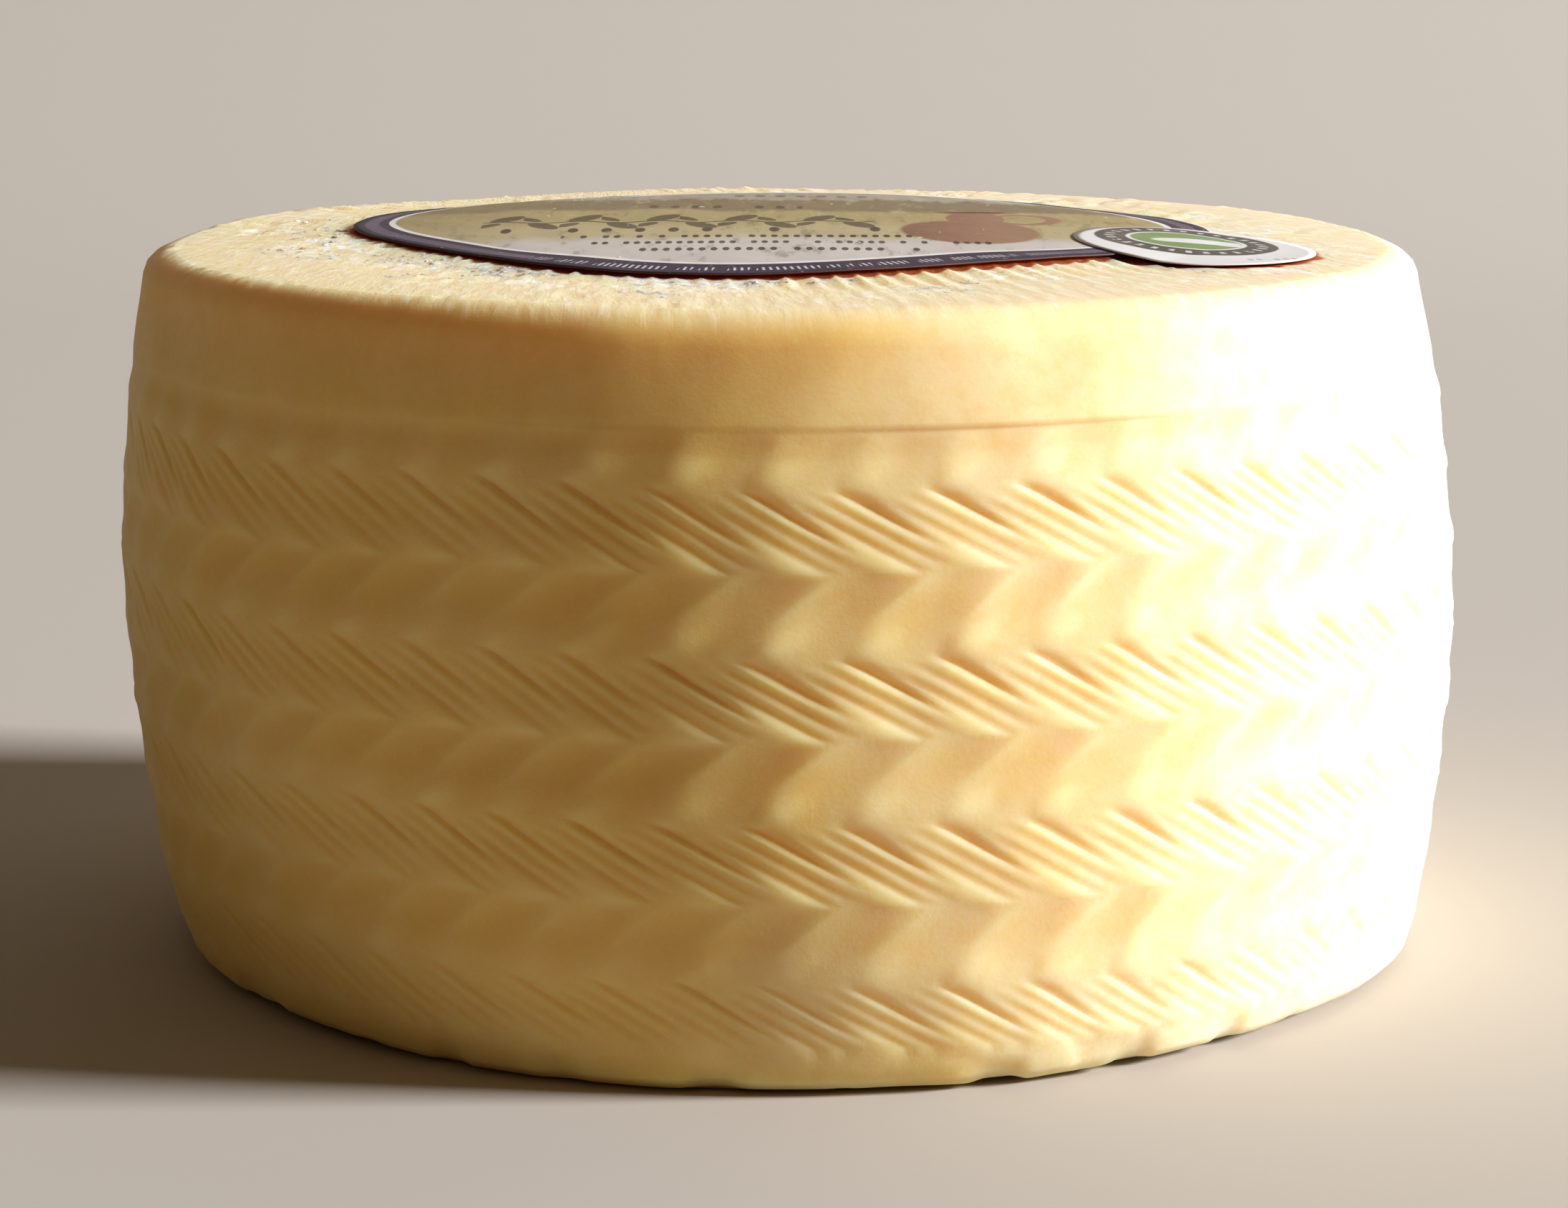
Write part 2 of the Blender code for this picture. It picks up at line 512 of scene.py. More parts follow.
def topRidges(x, y):
    # Ridges left by the mould's board: sharp beside the label at the front right and fading
    # outwards, finer and broken into crumbs at the front left
    flat = np.stack([x, y, 0 * x], -1)
    across = ridgePlace(x, y)[0] + 0.5 * swell(flat, 26, 5)
    coarse = 1 - np.abs(np.sin(math.pi * across / wheel["coarsePitch"])) ** 0.8
    fine = np.abs(np.sin(math.pi * (across + 0.7 * swell(flat, 8, 6)) / wheel["finePitch"]))
    rightFront = nearSide(np.arctan2(y, x), *wheel["coarseSide"])
    patches = smoothStep(-0.6, 0.7, swell(flat, 18, 7))
    crumbly = wheel["crumbly"] * swell(flat, 2.6, 8, 24) * (0.3 + 0.7 * patches)
    nearLabel = 1 - 0.85 * smoothStep(*wheel["ridgeFade"], outsideLabel(x, y))
    ridged = (wheel["coarse"] * coarse - 0.2) * (0.2 + 0.8 * rightFront) * nearLabel
    broken = (wheel["fine"] * (fine - 0.5) + crumbly) * (0.4 + 0.6 * patches)
    ridged += broken * (1 - 0.8 * rightFront)
    return ridged * (1 - 0.3 * smoothStep(80, 88, np.hypot(x, y)))


def topSkin(x, y):
    # The top face's height: nearly level, domed in the middle and lower at the back, with ridges
    # and slow lumps, and with the raised bed that the label is glued to
    flat = np.stack([x, y, 0 * x + wheel["top"]], -1)
    radius = np.hypot(x, y)
    bed = 1 - smoothStep(-1.3, -0.2, outsideLabel(x, y))
    loose = topRidges(x, y) + 0.13 * swell(flat, 42, 14)
    behind = smoothStep(0.1, 0.8, y / np.maximum(radius, 1)) * smoothStep(62, 72, radius)
    level = topHeight(radius) + labelDome(x, y) - wheel["backLow"] * behind
    return level + wheel["raised"] * bed + loose * (1 - bed)


def wheelRings():
    # the outline ring by ring: radius, height, the direction it faces, the plait's shift and the
    # number of points, from the middle of the top face to the middle of the base
    columns = wheel["strands"] * wheel["columns"]
    topRadii, underRadii = np.array(wheel["topRadii"]), np.array(wheel["baseRadii"])
    arc, footArc = np.radians(wheel["shoulderArc"]), np.radians(wheel["footArc"])
    band = np.array(wheel["plainHeights"])
    heights, shifts = plaitRings()
    inBand = (heights > wheel["plaitEnds"][0]) & (heights < wheel["plaitEnds"][1])
    heights, shifts = heights[inBand], shifts[inBand]
    shoulderHeight = wheel["topEdge"] - wheel["shoulderRound"]
    shoulderRadius = barrel(shoulderHeight) - wheel["shoulderRound"]
    footRadius = barrel(wheel["footRound"]) - wheel["footRound"]
    side = np.concatenate([band, heights, [wheel["lastHeight"]]])
    shoulder = (shoulderRadius + wheel["shoulderRound"] * np.cos(arc),
                shoulderHeight + wheel["shoulderRound"] * np.sin(arc))
    foot = footRadius + wheel["footRound"] * np.cos(footArc), wheel["footRound"] * (1 + np.sin(footArc))
    radius = np.concatenate([topRadii, shoulder[0], barrel(side), foot[0], underRadii])
    height = np.concatenate([topHeight(topRadii), shoulder[1], side, foot[1], 0 * underRadii])
    facing = np.concatenate([0 * topRadii + math.pi / 2, arc, 0 * side, footArc,
                             0 * underRadii - math.pi / 2])
    before = len(topRadii) + len(arc) + len(band)
    after = len(radius) - before - len(heights)
    shift = np.concatenate([np.full(before, shifts[0]), shifts, np.full(after, shifts[-1])])
    # the middle rings of the top face and the base have half or a quarter of the points
    counts = np.full(len(radius), columns)
    counts[:4] = columns // 4
    counts[4] = columns // 2
    counts[-6] = columns // 2
    counts[-5:] = columns // 4
    return [value[:, None] for value in (radius, height, facing, shift)], counts


def wheelSurface():
    # each point of the outline is pushed out along the direction it faces
    (radius, height, facing, shift), counts = wheelRings()
    columns = counts.max()
    share = np.arange(columns)[None, :] / wheel["columns"]
    angle = -math.pi / 2 + (strandWidth * share + wheel["start"] + shift) / wheel["belly"]
    wavesAt = wheel["wavesAt"]
    plain = np.stack(np.broadcast_arrays(wavesAt * np.cos(angle), wavesAt * np.sin(angle), height), -1)
    angle = angle + wheel["turnWaves"] * swell(plain, 55, 11) / wheel["belly"]
    onTop = facing > 1.5
    # the rings of the top face follow the label's edge near it, and lean only further out
    follow = smoothStep(30, 55, radius) * (1 - smoothStep(62, 84, radius)) * onTop
    radius = radius + follow * (labelEdge(angle) - labelCut["mean"])
    lean = leanAt(height) * np.where(onTop, smoothStep(60, 84, radius), 1)
    x, y = radius * np.cos(angle) + lean, radius * np.sin(angle)
    onSide = smoothStep(3.0, 6.5, height) * (1 - smoothStep(83.4, 86.0, height))

    sharp = nearSide(angle, *wheel["sharpSide"])
    relief = plaitRelief(share, wheel["firstLine"] - height, sharp) * onSide
    relief = relief * (0.85 + 0.15 * smoothStep(-1, 1, swell(plain, 60, 17)))
    frontRight = nearSide(angle, *wheel["creaseSide"])
    creaseForce = frontRight + 0.25 * (1 - frontRight) * smoothStep(0.0, 1.0, swell(plain, 40, 13))
    creaseLine = creaseForce * bell(height, wheel["crease"], 0.32)
    lumps = wheel["lumps"] * swell(plain, 42, 14) + wheel["smallLumps"] * swell(plain, 15, 15)
    # slanting ridges over the shoulder at the front left, and notches in the foot
    slanted = angle * wheel["belly"] + 2.4 * height + 1.5 * swell(plain, 14, 18)
    jagged = wheel["jagged"] * (np.abs(np.sin(math.pi * slanted / 4.1)) - 0.6)
    jagged = jagged * bell(height, *wheel["jaggedHeight"]) * nearSide(angle, *wheel["jaggedSide"])
    jagged = jagged * smoothStep(-1, 0.4, swell(plain, 22, 19))
    notches = -wheel["notches"] * bell(height, 1.6, 3.0) * smoothStep(0.1, 1.3, swell(plain, 11, 16))
    pushed = relief - wheel["creaseDepth"] * creaseLine + lumps + notches + jagged
    # the shoulder is fuller at the two sides, and passes into the top face's own skin
    pushed = pushed + wheel["squareSides"] * bell(facing, 0.8, 0.5) * np.cos(angle) ** 4
    fromSide = np.cos(facing).clip(0, 1)
    skin = topSkin(x, y) - topHeight(np.hypot(x, y))
    pushed = np.where(facing > 0.02, fromSide * pushed + (1 - fromSide) * skin, pushed)
    pushed = np.where(facing < -1.4, 0, pushed)

    # the foot is rounded further up on two sides, and the rows wander a little up and down
    lift = sum(high * nearSide(angle, *side) for high, *side in wheel["footLifts"])
    lift = lift * (1 - smoothStep(2, 9, height)) * smoothStep(66, 84, radius)
    wander = wheel["heightWaves"] * swell(plain, 70, 12) * onSide * smoothStep(0, 12, height)
    outward = radius + pushed * np.cos(facing)
    upward = np.maximum(height + pushed * np.sin(facing) + wander + lift, 0)
    upward = np.where(onTop, topSkin(x, y), upward)
    pushedX, pushedY = outward * np.cos(angle) + lean, outward * np.sin(angle)
    points = np.stack(np.broadcast_arrays(pushedX, pushedY, upward), -1)
    # hollowShade and crest feed the rind's painted shade in the plait's hollows and painted highlight
    # on its crests
    values = {
        "hollowShade": np.clip(-(relief + 0.1) / 0.9, 0, 1),
        "crest": np.clip((relief + 0.25) / 0.7, 0, 1) * onSide,
        "creaseLine": creaseLine,
        "topGroove": np.clip(0.5 - topRidges(x, y) / 0.4, 0, 1) * np.sin(facing).clip(0, 1),
        "ridgeAcross": ridgePlace(x, y)[0],
        "ridgeAlong": ridgePlace(x, y)[1],
        "offLabel": np.where(facing > 0.02, outsideLabels(x, y) + 30 * (1 - np.sin(facing)), 60.0),
    }
    kept = np.zeros(relief.shape, bool)
    for ring, step in enumerate(columns // counts):
        kept[ring, ::step] = True
    return points[kept], {name: value[kept] for name, value in values.items()}, counts


def makeWheel(material):
    # the whole rind: its rings of points and a middle point for the top and one for the base
    points, values, counts = wheelSurface()
    topMiddle = wheel["top"] + wheel["raised"] + labelCut["dome"]
    middles = np.array([[0.0, 0.0, topMiddle], [0.0, 0.0, 0.0]])
    caps = [fanFaces(len(points), 0, counts[0], True),
            fanFaces(len(points) + 1, len(points) - counts[-1], counts[-1], False)]
    piece = makePiece("cheese_wheel_rind", np.concatenate([points, middles]), ringFaces(counts) + caps,
                      material, "cheese_wheel")
    for name, value in values.items():
        atMiddles = [-40.0, 60.0] if name == "offLabel" else [0.0, 0.0]
        giveValues(piece, name, np.concatenate([value, atMiddles]))


def rindFinish():
    # Ivory rind, cloudy all over, with pale flecks on the top face. Painted shade darkens the hollows,
    # the crease and the top face's grooves and lies red-brown along the labels' edges; a painted
    # highlight pales the crests, and painted light pales the right side where the key light falls
    b = Board("waxy_rind")
    here = b.place()
    hollowShade, crest, groove = b.held("hollowShade"), b.held("crest"), b.held("topGroove")
    offLabel = b.held("offLabel")
    cloudy = b.noise(here, 28, 3.0, 0.55)
    mottle = b.noise(here, 3.2, 3.0, 0.6)
    grain = b.noise(here, 0.7, 3.0, 0.6)
    fanned = b.node("ShaderNodeCombineXYZ", None,
                    {0: b.held("ridgeAcross"), 1: b.held("ridgeAlong") * 0.22})
    fibres = b.noise(fanned, 1.5, 3.0, 0.6, 0.3)
    x, y, z = b.split(here)
    body = b.blend(b.step(cloudy, 0.35, 0.65), (0.83, 0.58, 0.20), (0.86, 0.63, 0.26))
    # painted light: paler towards the right side, where the key light falls
    body = b.blend(b.step(x + 60 * (cloudy - 0.5), -20, 75), body, (0.91, 0.79, 0.55))
    body = b.blend(0.30 * b.step(mottle, 0.4, 0.7), body, (0.80, 0.54, 0.19))
    # painted shade: the plait's hollows are darker and more golden
    body = b.blend(hollowShade * 0.5, body, (0.80, 0.50, 0.12))
    # painted highlight: the plait's crests are paler
    body = b.blend(crest * 0.35, body, (0.92, 0.77, 0.45))
    # painted shade: darker brown along the belt's crease
    body = b.blend(b.held("creaseLine") * 0.6, body, (0.62, 0.34, 0.10))
    onTop = b.step(offLabel, 52, 24)
    body = b.blend(onTop * 0.75, body, (0.90, 0.78, 0.53))
    # painted shade: darker gold in the valleys between the top face's ridges
    body = b.blend(onTop * groove * 0.35, body, (0.82, 0.60, 0.27))
    near = b.step(offLabel, 26, 5)
    patches = b.step(b.noise(here, 1.7, 3.0, 0.65, 0.6), 0.50, 0.56)
    patches = patches * b.step(b.noise(here, 16, 2.0, 0.5), 0.46, 0.58)
    body = b.blend(onTop * near * patches, body, (1.0, 0.97, 0.88))
    body = b.blend(onTop * b.step(fibres, 0.54, 0.66) * 0.5, body, (0.98, 0.90, 0.72))
    flecks = b.step(b.noise(fanned, 1.1, 2.0, 0.5, 0.4), 0.60, 0.68) * b.step(offLabel, 12, 3) * onTop
    body = b.blend(flecks * 0.5, body, (0.75, 0.33, 0.14))
    # painted shade: the shadowed gap under the labels' edges, painted red-brown on the rind and
    # reaching into the ridges' valleys
    labelEdgeShade = b.step(offLabel - 2.6 * mottle - 0.3 * groove, -0.3, -1.4)
    body = b.blend(labelEdgeShade * onTop, body, (0.48, 0.10, 0.025))
    # a small brown spot on the side at the front right
    away = (x - 64.5) * (x - 64.5) + (y + 69.7) * (y + 69.7) + (z - 70) * (z - 70)
    body = b.blend(b.step(away, 1.6, 0.5) * 0.8, body, (0.66, 0.36, 0.05))
    body = b.blend(0.20 * b.step(grain, 0.55, 0.75), body, (0.92, 0.78, 0.46))
    bumps = b.raised(grain + mottle * 1.5, 0.035)
    bumps = b.raised(fibres * onTop, 0.22, bumps)
    return b.finish(Base_Color=body, Roughness=0.50 + 0.14 * mottle, Normal=bumps,
                    Subsurface_Weight=0.9, Subsurface_Radius=(0.85, 0.48, 0.16), Subsurface_Scale=0.010,
                    IOR=1.42, Specular_IOR_Level=0.2)


makeWheel(rindFinish())

# the main label


def sheetMesh(name, x, y, under, thick, material, stands, values):
    # a top skin, ring by ring to the edge, and the same skin below it from the edge back in
    above = np.stack([x, y, under + thick], -1)
    below = np.stack([x, y, under], -1)[::-1]
    points = np.concatenate([above, below])
    rings, columns = points.shape[:2]
    flat = points.reshape(-1, 3)
    middles = np.array([points[0].mean(0), points[-1].mean(0)])
    caps = [fanFaces(len(flat), 0, columns, True),
            fanFaces(len(flat) + 1, len(flat) - columns, columns, False)]
    piece = makePiece(name, np.concatenate([flat, middles]), ringFaces(np.full(rings, columns)) + caps,
                      material, stands)
    for key, value in values.items():
        both = np.concatenate([value, value[::-1]]).ravel()
        giveValues(piece, key, np.concatenate([both, [value[0].mean(), value[0].mean()]]))
    giveValues(piece, "underside", np.repeat([0.0, 1.0, 0.0, 1.0], [x.size, x.size, 1, 1]))


def labelUnder(x, y):
    # the sheet waves a little and stands off the ridges at its edge
    flat = np.stack([x, y, 0 * x], -1)
    edgeWave = 0.05 * (1 - smoothStep(0, 4, -outsideLabel(x, y))) * swell(flat, 12, 22)
    return labelCut["level"] + labelDome(x, y) + 0.06 * swell(flat, 34, 21) + edgeWave


def makeLabel(material):
    # rings of points that are the edge's outline made smaller
    angle = np.arange(labelCut["columns"])[None, :] * fullTurn / labelCut["columns"]
    share = np.array(labelCut["rings"])[:, None]
    reach = share * labelEdge(angle)
    x, y = reach * np.cos(angle), reach * np.sin(angle)
    sheetMesh("main_label_sheet", x, y, labelUnder(x, y), labelCut["thick"], material,
              "main_label", {"inside": (1 - share) * labelEdge(angle)})


def garland(b, x, y):
    # a wavy stem with slim leaves that stand on its two sides by turns
    pitch = 5.6
    x = x + 44
    stem = b.step(b.call("ABSOLUTE", y - 1.1 * b.call("SINE", x * (math.pi / pitch))), 0.65, 0.45)
    count = b.call("FLOOR", x / pitch)
    across = x - (count + 0.5) * pitch
    up = y * (1 - 2 * b.call("MODULO", count, 2.0))
    leaves = b.most(b.inOval(across, up, (0.5, 4.8), (1.75, 4.8), -0.35),
                    b.inOval(across, up, (-1.9, -3.8), (1.2, 3.4), -0.45), stem)
    return leaves * b.step(x, 0.0, 0.3) * b.step(x, 56.0, 55.7)


def dashes(b, x, y, left, right, level, pitch, size, seed):
    # a row of small upright dashes with some left out
    count = b.call("FLOOR", x / pitch)
    across = x - (count + 0.5) * pitch
    chance = b.call("FRACT", b.call("ABSOLUTE", b.call("SINE", count * 12.9898 + seed) * 43.7585))
    shape = b.inOval(across, y, (0, level), size, 0.0, 0.3)
    shape = shape * b.step(chance, 0.25, 0.3)
    return shape * b.step(x, left, left + 0.5) * b.step(x, right, right - 0.5)


def labelFinish():
    # A printed country scene in a dark border: pale sky, far hills, a meadow and a pale foreground,
    # with a leafy garland, rows of dashes and a clay jug
    b = Board("printed_label")
    here = b.place()
    x, y = b.split(here)[:2]
    inside = b.held("inside")
    wash = b.noise(b.place(0, (1, 0.35, 1)), 9, 3.0, 0.6)
    fine = b.noise(b.place(0, (1, 0.2, 1)), 2.2, 3.0, 0.6)
    level = y + (wash - 0.5) * 16
    scene = b.blend(b.step(level, -28, -16), (0.60, 0.55, 0.50), (0.50, 0.42, 0.24))
    scene = b.blend(b.step(level, -12, 4), scene, (0.43, 0.35, 0.17))
    scene = b.blend(b.step(level, 14, 20), scene, (0.27, 0.21, 0.12))
    scene = b.blend(b.step(level + (fine - 0.5) * 12, 33, 38), scene, (0.40, 0.35, 0.28))
    scene = b.blend(0.5 * b.step(fine, 0.55, 0.75) * b.step(level, -15, 0), scene, (0.58, 0.50, 0.28))
    scene = b.blend(0.45 * b.step(fine, 0.45, 0.3), scene, (0.20, 0.16, 0.08))
    scene = b.blend(0.35 * b.step(x, -30, -52), scene, (0.33, 0.26, 0.14))

    jug = b.most(b.inOval(x, y, (25, -13), (9.6, 15), 0.10), b.inOval(x, y, (26.5, 6), (4.2, 11)),
                 b.inOval(x, y, (27, 16), (6.0, 2.4)))
    handle = b.inOval(x, y, (33.5, 5), (5.4, 8.5)) * (1 - b.inOval(x, y, (33.0, 5), (3.6, 6.4)))
    clay = b.blend(b.step(x + 4 * fine, 17, 33), (0.27, 0.14, 0.085), (0.36, 0.21, 0.13))
    scene = b.blend(b.most(jug, handle), scene, clay)
    scene = b.blend(b.inOval(x, y, (27, 16.6), (4.4, 1.2)), scene, (0.14, 0.06, 0.04))

    ink = b.most(0.85 * garland(b, x, y),
                 dashes(b, x, y, -43, 16, -11, 4.7, (0.75, 2.9), 1.3),
                 dashes(b, x, y, -32, 19, -19.5, 1.55, (0.48, 1.7), 4.1),
                 dashes(b, x, y, -28, 28, -27, 1.45, (0.45, 1.6), 7.7),
                 dashes(b, x, y, -21, 18, -35, 1.6, (0.48, 1.7), 2.9),
                 0.7 * dashes(b, x, y, -22, 2, 21, 3.1, (0.7, 2.4), 5.2),
                 0.5 * dashes(b, x, y, -12, 12, 41, 3.1, (0.8, 2.6), 8.8))
    scene = b.blend(ink * 0.9, scene, (0.065, 0.045, 0.03))

    # the border is broader at the front and back, where white marks fill it
    angle = b.call("ARCTAN2", y, x)
    sideways = b.call("ABSOLUTE", b.call("COSINE", angle))
    broad = b.step(sideways, 0.82, 0.50)
    depth = inside / (1 + 0.40 * broad)
    border = b.blend(b.step(depth, 1.5, 1.8), (0.050, 0.038, 0.062), (0.16, 0.125, 0.165))
    border = b.blend(b.step(depth, 3.6, 3.9), border, (0.070, 0.052, 0.072))
    border = b.blend(broad, border, (0.060, 0.045, 0.068))
    count = b.call("FLOOR", angle * 58)
    chance = b.call("FRACT", b.call("ABSOLUTE", b.call("SINE", count * 12.9898) * 43.7585))
    within = b.call("FRACT", angle * 58 + 0.22 * depth)
    marks = b.step(within, 0.20, 0.34) * b.step(within, 0.72, 0.58) * b.step(chance, 0.2, 0.24)
    marks = marks * b.step(depth, 1.5, 1.8) * b.step(depth, 3.4, 3.1) * broad
    border = b.blend(marks, border, (0.62, 0.60, 0.62))
    printed = b.blend(b.step(depth, 5.1, 5.3), border, (0.80, 0.77, 0.74))
    printed = b.blend(b.step(depth, 6.0, 6.3), printed, scene)
    specks = b.step(b.noise(here, 0.9, 2.0, 0.5), 0.70, 0.74)
    printed = b.blend(specks * 0.35, printed, (0.85, 0.80, 0.70))
    # painted shade: the sheet's underside is dark brown, for the shadowed gap under its edge
    printed = b.blend(b.held("underside"), printed, (0.20, 0.09, 0.04))
    crease = b.raised(b.noise(here, 14, 2.0, 0.5), 0.5)
    return b.finish(Base_Color=printed, Roughness=0.42 + 0.14 * wash, Normal=crease,
                    Specular_IOR_Level=0.2)


makeLabel(labelFinish())

# the oval seal


def makeSeal(material):
    # an oval sheet that lies on the label where it overlaps it and sinks a little beyond its edge
    angle = np.arange(sealCut["columns"])[None, :] * fullTurn / sealCut["columns"]
    share = (np.arange(1, sealCut["rings"] + 1) / sealCut["rings"])[:, None]
    across = share * sealCut["wide"] / 2 * np.cos(angle)
    along = share * sealCut["long"] / 2 * np.sin(angle)
    c, s = math.cos(sealCut["turn"]), math.sin(sealCut["turn"])
    x = sealCut["middle"][0] + c * across - s * along
    y = sealCut["middle"][1] + s * across + c * along
    sinks = sealCut["sinks"] * smoothStep(*sealCut["sinksOver"], outsideLabel(x, y))
    under = labelUnder(x, y) + labelCut["thick"] + sealCut["gap"] - sinks
    sheetMesh("oval_seal_sheet", x, y, under, sealCut["thick"], material, "oval_seal",
              {"across": across, "along": along})


def sealFinish():
    # white paper with a dark ring of pale dots round a green field that holds a plain white leaf
    b = Board("printed_seal")
    across, along = b.held("across"), b.held("along")
    u, v = across - 0.2, along - 4.0
    radius = b.call("SQRT", (u / 12.6) * (u / 12.6) + (v / 14.8) * (v / 14.8))
    turn = b.call("ARCTAN2", v / 14.8, u / 12.6)
    paper = (0.84, 0.83, 0.82)
    ring = b.step(radius, 1.01, 0.98) * b.step(radius, 0.64, 0.67)
    dot = b.call("FRACT", turn * (28 / fullTurn))
    dots = b.step(dot, 0.26, 0.36) * b.step(dot, 0.72, 0.62) * b.step(radius, 0.76, 0.79)
    dots = dots * b.step(radius, 0.90, 0.87)
    worn = b.noise(b.place(), 1.2, 2.0, 0.5)
    printed = b.blend(ring, paper, (0.035, 0.032, 0.024))
    printed = b.blend(0.85 * dots * b.step(worn, 0.36, 0.46), printed, (0.80, 0.79, 0.74))
    field = b.step(radius, 0.62, 0.59)
    printed = b.blend(field, printed, (0.17, 0.30, 0.07))
    leaf = b.most(b.inOval(u, v, (1.2, -0.8), (6.3, 2.9), -0.12),
                  b.inOval(u, v, (5.0, -2.6), (2.0, 3.2), 0.3))
    printed = b.blend(leaf * field, printed, paper)
    small = dashes(b, across, along, 1, 13, -14.6, 1.25, (0.40, 0.9), 3.3)
    printed = b.blend(0.55 * small, printed, (0.20, 0.18, 0.20))
    grime = b.noise(b.place(), 6, 3.0, 0.6)
    printed = b.blend(0.12 * b.step(grime, 0.5, 0.7), printed, (0.80, 0.66, 0.42))
    # painted shade: the sheet's underside is brown, for the shadowed gap under its edge
    printed = b.blend(b.held("underside"), printed, (0.45, 0.30, 0.15))
    return b.finish(Base_Color=printed, Roughness=0.30 + 0.12 * grime, Coat_Weight=0.15,
                    Coat_Roughness=0.2, Specular_IOR_Level=0.4)


makeSeal(sealFinish())

# crumbs of rind beside the main label, and a few on it

crumbs = {
    "clusters": 30,
    "inCluster": 11,
    "spread": 2.4,
    "onLabel": 16,
    "side": (-126, 33),     # degrees of the clusters: their middle and how widely they vary
    "beyond": 1.5,          # the nearest to the label's edge
    "within": 84,           # none lies further out than this
    "clear": 0.3,           # of the labels' edges
    "sides": 7,
    "size": (0.2, 0.85),
    "rim": 0.01,            # how high its rim lies over the ground
    "high": 0.06,
    "sunk": 0.12,
}


def makeCrumbs(material):
    # Flat flakes, each a ring of points that follows the ground with one point over it and one under
    # it. They lie in clusters at the front left, and singly on the label.
    dice = np.random.default_rng(77)
    n = crumbs["clusters"] * crumbs["inCluster"] + crumbs["onLabel"]
    onRind = np.arange(n) >= crumbs["onLabel"]
    cluster = np.arange(n) // crumbs["inCluster"]
    middle, varies = np.radians(crumbs["side"])
    angle = (middle + varies * dice.normal(size=n))[cluster]
    beyond = (crumbs["beyond"] + 6 * dice.exponential(size=n).clip(0, 2.2))[cluster]
    angle = np.where(onRind, angle, dice.uniform(0, fullTurn, n))
    reach = labelEdge(angle) + np.where(onRind, beyond, -labelEdge(angle) * dice.uniform(0.1, 0.6, n))
    offset = crumbs["spread"] * dice.normal(size=(2, n)) * onRind
    x, y = reach * np.cos(angle) + offset[0], reach * np.sin(angle) + offset[1]
    size = dice.uniform(*crumbs["size"], n) * np.where(onRind, 1.0, 0.8)
    clear = np.where(onRind, outsideLabels(x, y), outsideSeal(x, y)) > size + crumbs["clear"]
    clear = clear & (np.hypot(x, y) < crumbs["within"])
    x, y, size, onRind = (value[clear][:, None] for value in (x, y, size, onRind))
    n = len(x)
    i = np.arange(crumbs["sides"])
    turn = dice.uniform(0, fullTurn, (n, 1)) + i[None, :] * fullTurn / crumbs["sides"]
    spread = size * dice.uniform(0.45, 1.15, turn.shape)
    rimX, rimY = x + spread * np.cos(turn), y + spread * np.sin(turn)

    def ground(x, y):
        return np.where(onRind, topSkin(x, y), labelUnder(x, y) + labelCut["thick"])

    ring = np.stack([rimX, rimY, ground(rimX, rimY) + crumbs["rim"]], -1)
    top = np.stack([x, y, ground(x, y) + crumbs["high"] * (1 + size)], -1)
    bottom = np.stack([x, y, ground(x, y) - crumbs["sunk"]], -1)
    points = np.concatenate([top, ring, bottom], 1)
    each = crumbs["sides"] + 2
    j = (i + 1) % crumbs["sides"]
    flake = np.concatenate([np.stack([0 * i, 1 + i, 1 + j], 1),
                            np.stack([0 * i + each - 1, 1 + j, 1 + i], 1)])
    faces = (flake[None] + each * np.arange(n)[:, None, None]).reshape(-1, 3)
    piece = makePiece("rind_crumbs", points.reshape(-1, 3), [faces], material)
    piece.data.shade_flat()


def crumbFinish():
    # dry ivory, a little cloudy
    b = Board("dry_crumb")
    shade = b.noise(b.place(), 2.5, 2.0, 0.5)
    body = b.blend(b.step(shade, 0.35, 0.65), (1.0, 0.92, 0.70), (1.0, 0.96, 0.80))
    return b.finish(Base_Color=body, Roughness=0.6 + 0.2 * shade, Subsurface_Weight=0.6,
                    Subsurface_Radius=(1.0, 0.8, 0.6), Subsurface_Scale=0.003)


makeCrumbs(crumbFinish())

# the floor, the lights and the camera

studio = {
    "floor": (0.54, 0.50, 0.45),
    "sweepStart": 0.75,
    "sweepRadius": 0.6,
    "wallTop": 3.0,
    "halfWidth": 4.0,
    "front": -3.0,
    "lightAim": (0, 0, 0.05),
    "keyPlace": (8.38, -1.05, 3.55),
    "keySize": 1.8,
    "keyPower": 1480,
    "keyColour": (1.0, 1.02, 1.07),
    "airColour": (1.0, 0.74, 0.46),
    "airStrength": 0.11,
    "cameraPlace": (-0.0010, -0.5833, 0.1575),
    "cameraDown": math.radians(10.76),
    "cameraLens": 93.9,
}


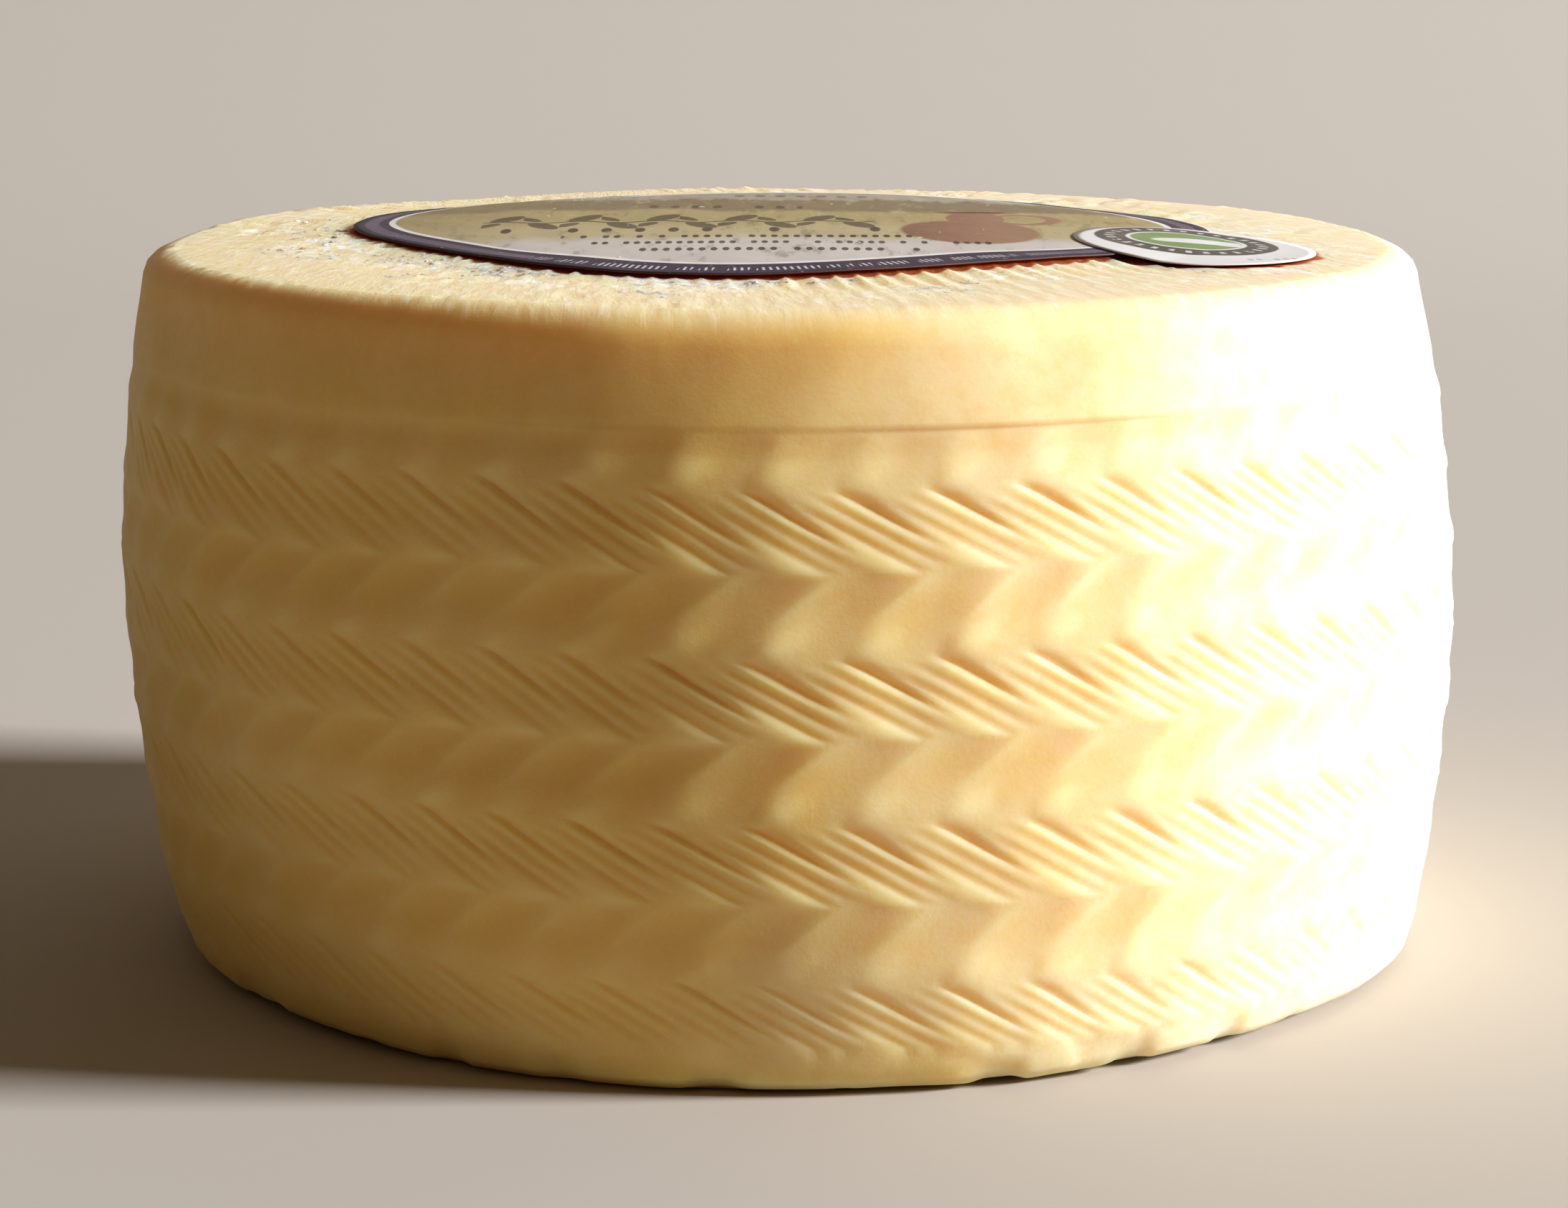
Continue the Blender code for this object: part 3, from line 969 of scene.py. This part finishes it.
def makeStage():
    # a profile carried sideways: level floor, a quarter round and an upright wall
    bend = np.linspace(0, math.pi / 2, 24)
    y = np.concatenate([[studio["front"]], studio["sweepStart"] + studio["sweepRadius"] * np.sin(bend),
                        [studio["sweepStart"] + studio["sweepRadius"]]])
    z = np.concatenate([[0], studio["sweepRadius"] * (1 - np.cos(bend)), [studio["wallTop"]]])
    x = np.array([-studio["halfWidth"], studio["halfWidth"]])
    points = np.stack(np.broadcast_arrays(x[None, :], y[:, None], z[:, None]), -1).reshape(-1, 3)
    i = np.arange(len(y) - 1)
    faces = np.stack([2 * i, 2 * i + 1, 2 * i + 3, 2 * i + 2], 1)
    mesh = bpy.data.meshes.new("studio_sweep")
    mesh.from_pydata(points.tolist(), [], faces.tolist())
    mesh.shade_smooth()
    b = Board("pale_backdrop")
    mesh.materials.append(b.finish(Base_Color=studio["floor"], Roughness=0.95, Specular_IOR_Level=0.0))
    sweep = bpy.data.objects.new("studio_sweep", mesh)
    bpy.context.scene.collection.objects.link(sweep)


def softLight(name, place, size, power, colour):
    # a square light that looks at the middle of the wheel
    light = bpy.data.lights.new(name, "AREA")
    light.size = size
    light.energy = power
    light.color = colour
    held = bpy.data.objects.new(name, light)
    aim = (Vector(studio["lightAim"]) - Vector(place)).to_track_quat("-Z", "Y").to_matrix().to_4x4()
    held.matrix_world = Matrix.Translation(place) @ aim
    bpy.context.scene.collection.objects.link(held)


def makeLights():
    # one key light at the right, and a dim warm surround
    softLight("key_right", studio["keyPlace"], studio["keySize"], studio["keyPower"],
              studio["keyColour"])
    world = bpy.data.worlds.new("studio_air")
    world.use_nodes = True
    air = world.node_tree.nodes["Background"]
    air.inputs["Color"].default_value = (*studio["airColour"], 1)
    air.inputs["Strength"].default_value = studio["airStrength"]
    bpy.context.scene.world = world
    bpy.context.scene.view_settings.view_transform = "Standard"
    bpy.context.scene.view_settings.look = "Medium High Contrast"


def makeCamera():
    # in front of the wheel, looking a little down
    lens = bpy.data.cameras.new("front_camera")
    lens.sensor_width = 36
    lens.lens = studio["cameraLens"]
    camera = bpy.data.objects.new("front_camera", lens)
    camera.location = studio["cameraPlace"]
    camera.rotation_euler = (math.pi / 2 - studio["cameraDown"], 0, 0)
    bpy.context.scene.collection.objects.link(camera)
    bpy.context.scene.camera = camera


makeStage()
makeLights()
makeCamera()
print("stage, lights and camera are in place")
